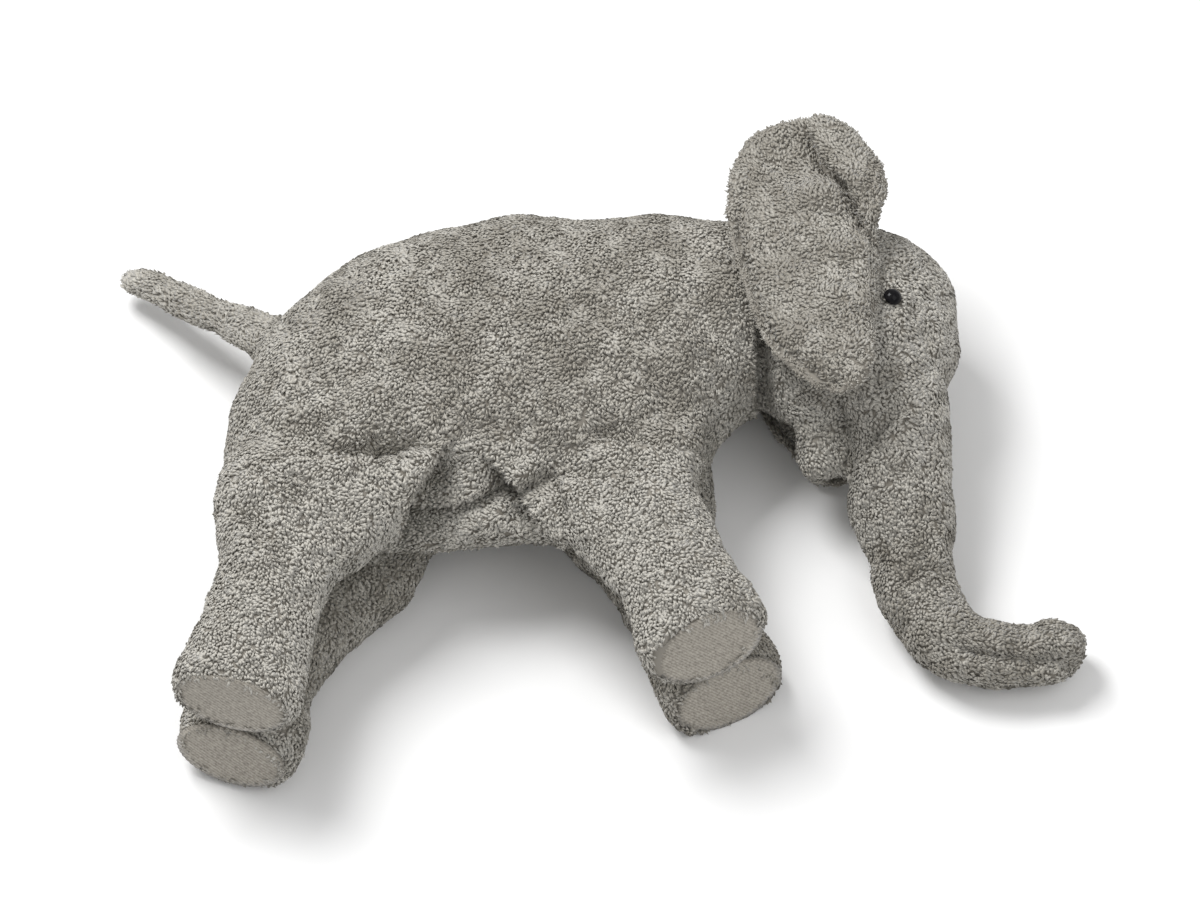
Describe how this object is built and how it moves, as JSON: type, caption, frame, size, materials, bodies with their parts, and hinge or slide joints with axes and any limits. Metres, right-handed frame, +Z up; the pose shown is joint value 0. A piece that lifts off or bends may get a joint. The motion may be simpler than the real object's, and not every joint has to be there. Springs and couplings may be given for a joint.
{
  "type": "stuffed elephant",
  "caption": "Floppy grey plush elephant lying on its side, with a nodding head, curling trunk, flap ears, swinging legs and a tail.",
  "frame": {"origin": "on the ground, under the middle of the box that the lying elephant fills", "axes": "+X from the tail towards the trunk, +Y from the feet towards the back, +Z up from its right side to its left side"},
  "size_m": [0.4782, 0.331, 0.109],
  "materials": {
    "plush": "matte",
    "under_plush": "matte",
    "sole_cloth": "matte",
    "filling": "matte",
    "eye_plastic": "gloss",
    "washer_plastic": "matte"
  },
  "bodies": {
    "torso": {"torso_left_panel": "plush", "torso_right_panel": "plush", "belly_gusset": "under_plush", "torso_stuffing": "filling"},
    "head": {"head_left_panel": "plush", "head_right_panel": "plush", "head_stuffing": "filling", "lower_lip": "plush", "eye_left": "eye_plastic", "eye_right": "eye_plastic", "eye_washer_left": "washer_plastic", "eye_washer_right": "washer_plastic"},
    "trunk": {"trunk_side_panel": "plush", "trunk_under_panel": "under_plush", "trunk_stuffing": "filling"},
    "trunk_tip": {"trunk_tip_side_panel": "plush", "trunk_tip_under_panel": "under_plush", "trunk_tip_stuffing": "filling"},
    "ear_left": {"ear_left_outer": "plush", "ear_left_wadding": "filling", "ear_left_inner": "under_plush"},
    "ear_right": {"ear_right_outer": "plush", "ear_right_wadding": "filling", "ear_right_inner": "under_plush"},
    "tail": {"tail_cover": "plush", "tail_stuffing": "filling"},
    "leg_front_left": {"leg_front_left_cover": "plush", "leg_front_left_stuffing": "filling", "leg_front_left_sole": "sole_cloth"},
    "leg_front_right": {"leg_front_right_cover": "plush", "leg_front_right_stuffing": "filling", "leg_front_right_sole": "sole_cloth"},
    "leg_rear_left": {"leg_rear_left_cover": "plush", "leg_rear_left_stuffing": "filling", "leg_rear_left_sole": "sole_cloth"},
    "leg_rear_right": {"leg_rear_right_cover": "plush", "leg_rear_right_stuffing": "filling", "leg_rear_right_sole": "sole_cloth"}
  },
  "joints": [
    {"name": "neck_nod", "type": "hinge", "parent": "torso", "child": "head", "pos_m": [0.088, 0.083, 0.0545], "axis": [0, 0, 1], "range_deg": [-10, 20]},
    {"name": "trunk_swing", "type": "hinge", "parent": "head", "child": "trunk", "pos_m": [0.149, 0.017, 0.044], "axis": [0, 0, 1], "range_deg": [-6, 45]},
    {"name": "trunk_curl", "type": "hinge", "parent": "trunk", "child": "trunk_tip", "pos_m": [0.163, -0.069, 0.018], "axis": [0, 0, 1], "range_deg": [-30, 45]},
    {"name": "ear_left_flap", "type": "hinge", "parent": "head", "child": "ear_left", "pos_m": [0.14, 0.086, 0.097], "axis": [0, 1, 0], "range_deg": [0, 85]},
    {"name": "ear_right_flap", "type": "hinge", "parent": "head", "child": "ear_right", "pos_m": [0.136, 0.086, 0.012], "axis": [0, -1, 0], "range_deg": [0, 85]},
    {"name": "tail_swing", "type": "hinge", "parent": "torso", "child": "tail", "pos_m": [-0.158, 0.069, 0.05], "axis": [0, 0, 1], "range_deg": [-35, 35]},
    {"name": "leg_front_left_swing", "type": "hinge", "parent": "torso", "child": "leg_front_left", "pos_m": [0.008, -0.014, 0.072], "axis": [0, 0, 1], "range_deg": [-30, 25]},
    {"name": "leg_front_right_swing", "type": "hinge", "parent": "torso", "child": "leg_front_right", "pos_m": [0.014, -0.012, 0.023], "axis": [0, 0, 1], "range_deg": [-30, 4]},
    {"name": "leg_rear_left_swing", "type": "hinge", "parent": "torso", "child": "leg_rear_left", "pos_m": [-0.147, -0.026, 0.072], "axis": [0, 0, 1], "range_deg": [-25, 25]},
    {"name": "leg_rear_right_swing", "type": "hinge", "parent": "torso", "child": "leg_rear_right", "pos_m": [-0.135, -0.026, 0.023], "axis": [0, 0, 1], "range_deg": [-25, 25]}
  ]
}
